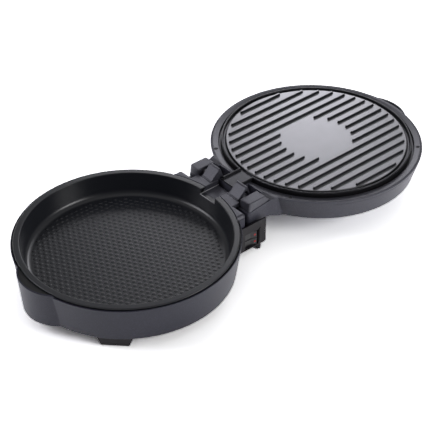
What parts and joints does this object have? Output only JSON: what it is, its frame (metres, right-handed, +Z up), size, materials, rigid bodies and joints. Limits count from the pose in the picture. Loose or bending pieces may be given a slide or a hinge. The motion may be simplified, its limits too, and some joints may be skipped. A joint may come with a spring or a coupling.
{
  "type": "pizza maker",
  "caption": "Electric pizza maker opened flat: deep round pan half hinged to a domed lid half with a ribbed grill plate, rocker switches on the hinge box.",
  "frame": {"origin": "middle of the footprint at the table, under the hinge line", "axes": "+Z up, +Y from the pan half to the opened lid half, +X towards the side with the switches"},
  "size_m": [0.3246, 0.7149, 0.0911],
  "materials": {
    "graphite_shell": "fine satin, graphite grey with a metallic sheen",
    "black_plastic": "matt black, heat resistant",
    "dark_box": "matt charcoal",
    "grey_frame": "satin mid grey",
    "coated_pan": "dark non-stick coating, satin",
    "coated_plate": "grey non-stick coating, satin",
    "rocker_plastic": "black, satin",
    "lamp_lens": "dark red, translucent",
    "rubber_foot": "black",
    "steel": "bright",
    "heater_tube": "dull, heat stained",
    "sheet_reflector": "mill finish sheet",
    "ceramic_clip": "off-white, matt",
    "thermostat_body": "brown-grey, matt",
    "terminal_plastic": "natural polyamide"
  },
  "bodies": {
    "base": {"base_housing": "graphite_shell", "base_frame": "black_plastic", "rear_deck": "grey_frame", "base_pan": "coated_pan", "lower_element": "heater_tube", "lower_element_clips": "ceramic_clip", "lower_reflector": "sheet_reflector", "lower_thermostat": "thermostat_body", "thermal_fuse": "ceramic_clip", "bottom_cover": "dark_box", "base_screws": "steel", "front_feet": "dark_box", "foot_pads": "rubber_foot", "rear_box": "dark_box", "switch_bezel": "dark_box", "left_box_panel": "dark_box", "switch_modules": "rocker_plastic", "terminal_block": "terminal_plastic", "cord_gland": "rubber_foot", "rear_feet": "rubber_foot", "left_hinge_arm": "grey_frame", "right_hinge_arm": "grey_frame", "hinge_pins": "steel"},
    "lid": {"lid_housing": "graphite_shell", "lid_frame": "grey_frame", "left_hinge_block": "grey_frame", "right_hinge_block": "grey_frame", "grill_plate": "coated_plate", "upper_element": "heater_tube", "upper_element_clips": "ceramic_clip", "upper_reflector": "sheet_reflector", "upper_thermostat": "thermostat_body", "frame_screws": "steel", "lid_rest_pads": "rubber_foot"},
    "upper_rocker": {"upper_rocker": "rocker_plastic", "upper_lens": "lamp_lens"},
    "lower_rocker": {"lower_rocker": "rocker_plastic", "lower_lens": "lamp_lens"}
  },
  "joints": [
    {"name": "lid_hinge", "type": "hinge", "parent": "base", "child": "lid", "pos_m": [0, 0, 0.0745], "axis": [1, 0, 0], "range_deg": [0, 180]},
    {"name": "upper_switch", "type": "hinge", "parent": "base", "child": "upper_rocker", "pos_m": [0.0715, -0.015, 0.0303], "axis": [0, 0, 1], "range_deg": [0, 16]},
    {"name": "lower_switch", "type": "hinge", "parent": "base", "child": "lower_rocker", "pos_m": [0.0715, -0.015, 0.018], "axis": [0, 0, 1], "range_deg": [0, 16]}
  ]
}
